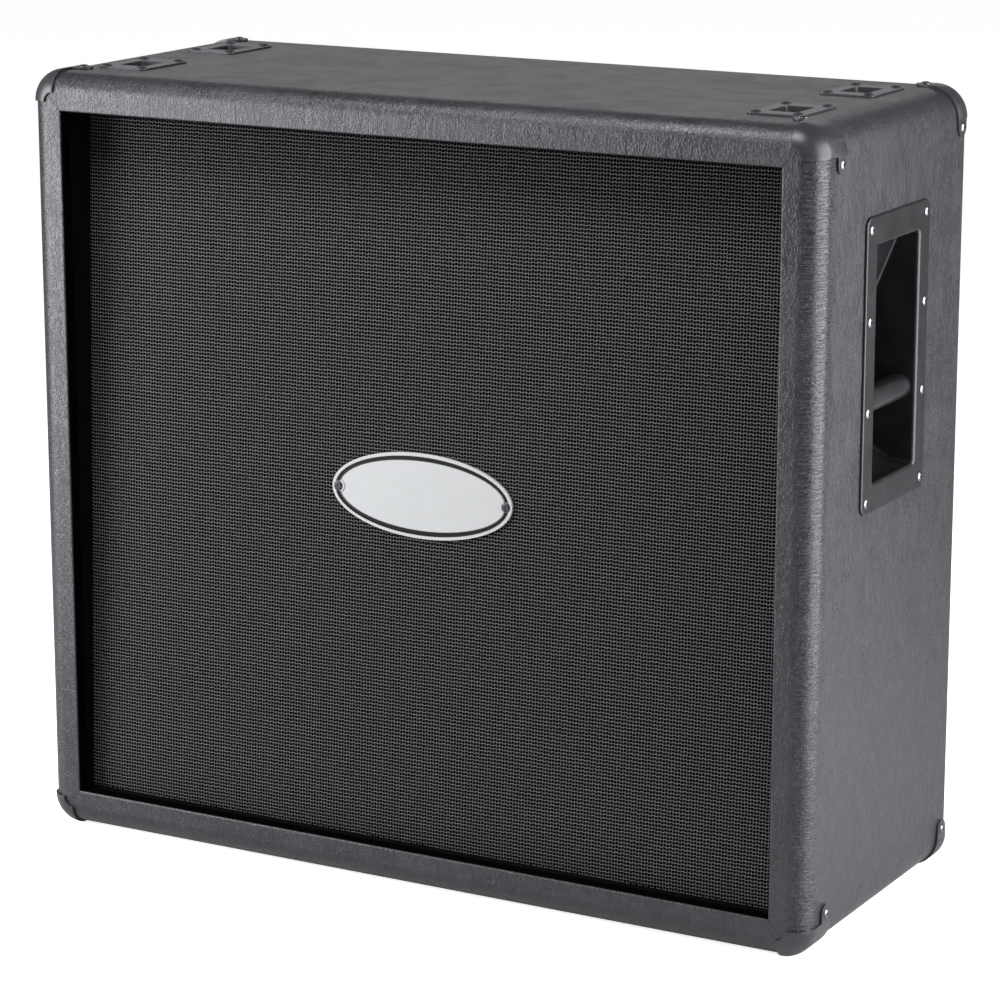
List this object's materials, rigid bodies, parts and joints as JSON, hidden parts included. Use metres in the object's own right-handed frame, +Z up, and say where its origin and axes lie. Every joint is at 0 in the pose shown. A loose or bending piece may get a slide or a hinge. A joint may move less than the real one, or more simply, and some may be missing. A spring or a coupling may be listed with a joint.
{
  "type": "guitar speaker cabinet",
  "caption": "Black vinyl-covered closed-back guitar speaker cabinet with a leaning woven grille, recessed bar handles, moulded corners and twelve-inch loudspeakers whose cones travel.",
  "frame": {"origin": "middle of the footprint, on the floor", "axes": "+X to the right facing the grille, +Y from the grille to the rear panel, +Z up"},
  "size_m": [0.768, 0.3039, 0.6956],
  "materials": {
    "plywood": "bare birch plywood, painted black in front of the grille",
    "covered_board": "plywood covered with black textured vinyl",
    "vinyl": "black levant-grain vinyl",
    "cloth": "black and grey woven grille cloth",
    "badge": "plain white oval plate",
    "dark_screw": "black oxide",
    "corner_plastic": "black satin moulding",
    "handle_plastic": "black textured moulding",
    "black_steel": "black powder coat",
    "jack_plastic": "black",
    "nickel": "bright nickel",
    "zinc": "zinc plate",
    "basket_paint": "dark grey paint",
    "gasket": "dark pressed fibre",
    "ferrite": "bare ferrite",
    "paper": "dark pressed paper",
    "coil": "former wound with copper",
    "surround_cloth": "doped cloth",
    "spider_cloth": "impregnated cloth",
    "lead_red": "red insulation",
    "lead_black": "black insulation"
  },
  "bodies": {
    "cabinet": {"left_panel": "plywood", "right_panel": "plywood", "top_panel": "plywood", "bottom_panel": "plywood", "front_strips": "plywood", "baffle_board": "plywood", "rear_battens": "plywood", "centre_post": "plywood", "grille_frame": "plywood", "rear_panel": "covered_board", "vinyl_covering": "vinyl", "grille_cloth": "cloth", "badge_plate": "badge", "badge_screws": "dark_screw", "front_corners": "corner_plastic", "rear_corners": "corner_plastic", "left_handle_dish": "handle_plastic", "right_handle_dish": "handle_plastic", "handle_bars": "handle_plastic", "top_plates": "black_steel", "jack_dish": "black_steel", "jack_sockets": "jack_plastic", "jack_nuts": "nickel", "caster_sockets": "zinc", "corner_screws": "nickel", "handle_screws": "nickel", "top_plate_screws": "dark_screw", "rear_panel_screws": "nickel", "jack_dish_screws": "nickel", "baffle_screws": "zinc", "speaker_screws": "zinc", "speaker_baskets": "basket_paint", "speaker_gaskets": "gasket", "speaker_front_plates": "zinc", "speaker_magnets": "ferrite", "speaker_yokes": "zinc", "speaker_tag_boards": "jack_plastic", "leads_red": "lead_red", "leads_black": "lead_black", "surround_1": "surround_cloth", "spider_1": "spider_cloth", "surround_2": "surround_cloth", "spider_2": "spider_cloth", "surround_3": "surround_cloth", "spider_3": "spider_cloth", "surround_4": "surround_cloth", "spider_4": "spider_cloth"},
    "cone_body_1": {"cone_1": "paper", "dust_cap_1": "paper", "voice_coil_1": "coil"},
    "cone_body_2": {"cone_2": "paper", "dust_cap_2": "paper", "voice_coil_2": "coil"},
    "cone_body_3": {"cone_3": "paper", "dust_cap_3": "paper", "voice_coil_3": "coil"},
    "cone_body_4": {"cone_4": "paper", "dust_cap_4": "paper", "voice_coil_4": "coil"}
  },
  "joints": [
    {"name": "cone_1_travel", "type": "slide", "parent": "cabinet", "child": "cone_body_1", "axis": [0, -0.9994, 0.0349], "range_m": [-0.003, 0.003], "stiffness_N_per_m": 5000, "deforming": ["surround_1", "spider_1"]},
    {"name": "cone_2_travel", "type": "slide", "parent": "cabinet", "child": "cone_body_2", "axis": [0, -0.9994, 0.0349], "range_m": [-0.003, 0.003], "stiffness_N_per_m": 5000, "deforming": ["surround_2", "spider_2"]},
    {"name": "cone_3_travel", "type": "slide", "parent": "cabinet", "child": "cone_body_3", "axis": [0, -0.9994, 0.0349], "range_m": [-0.003, 0.003], "stiffness_N_per_m": 5000, "deforming": ["surround_3", "spider_3"]},
    {"name": "cone_4_travel", "type": "slide", "parent": "cabinet", "child": "cone_body_4", "axis": [0, -0.9994, 0.0349], "range_m": [-0.003, 0.003], "stiffness_N_per_m": 5000, "deforming": ["surround_4", "spider_4"]}
  ]
}
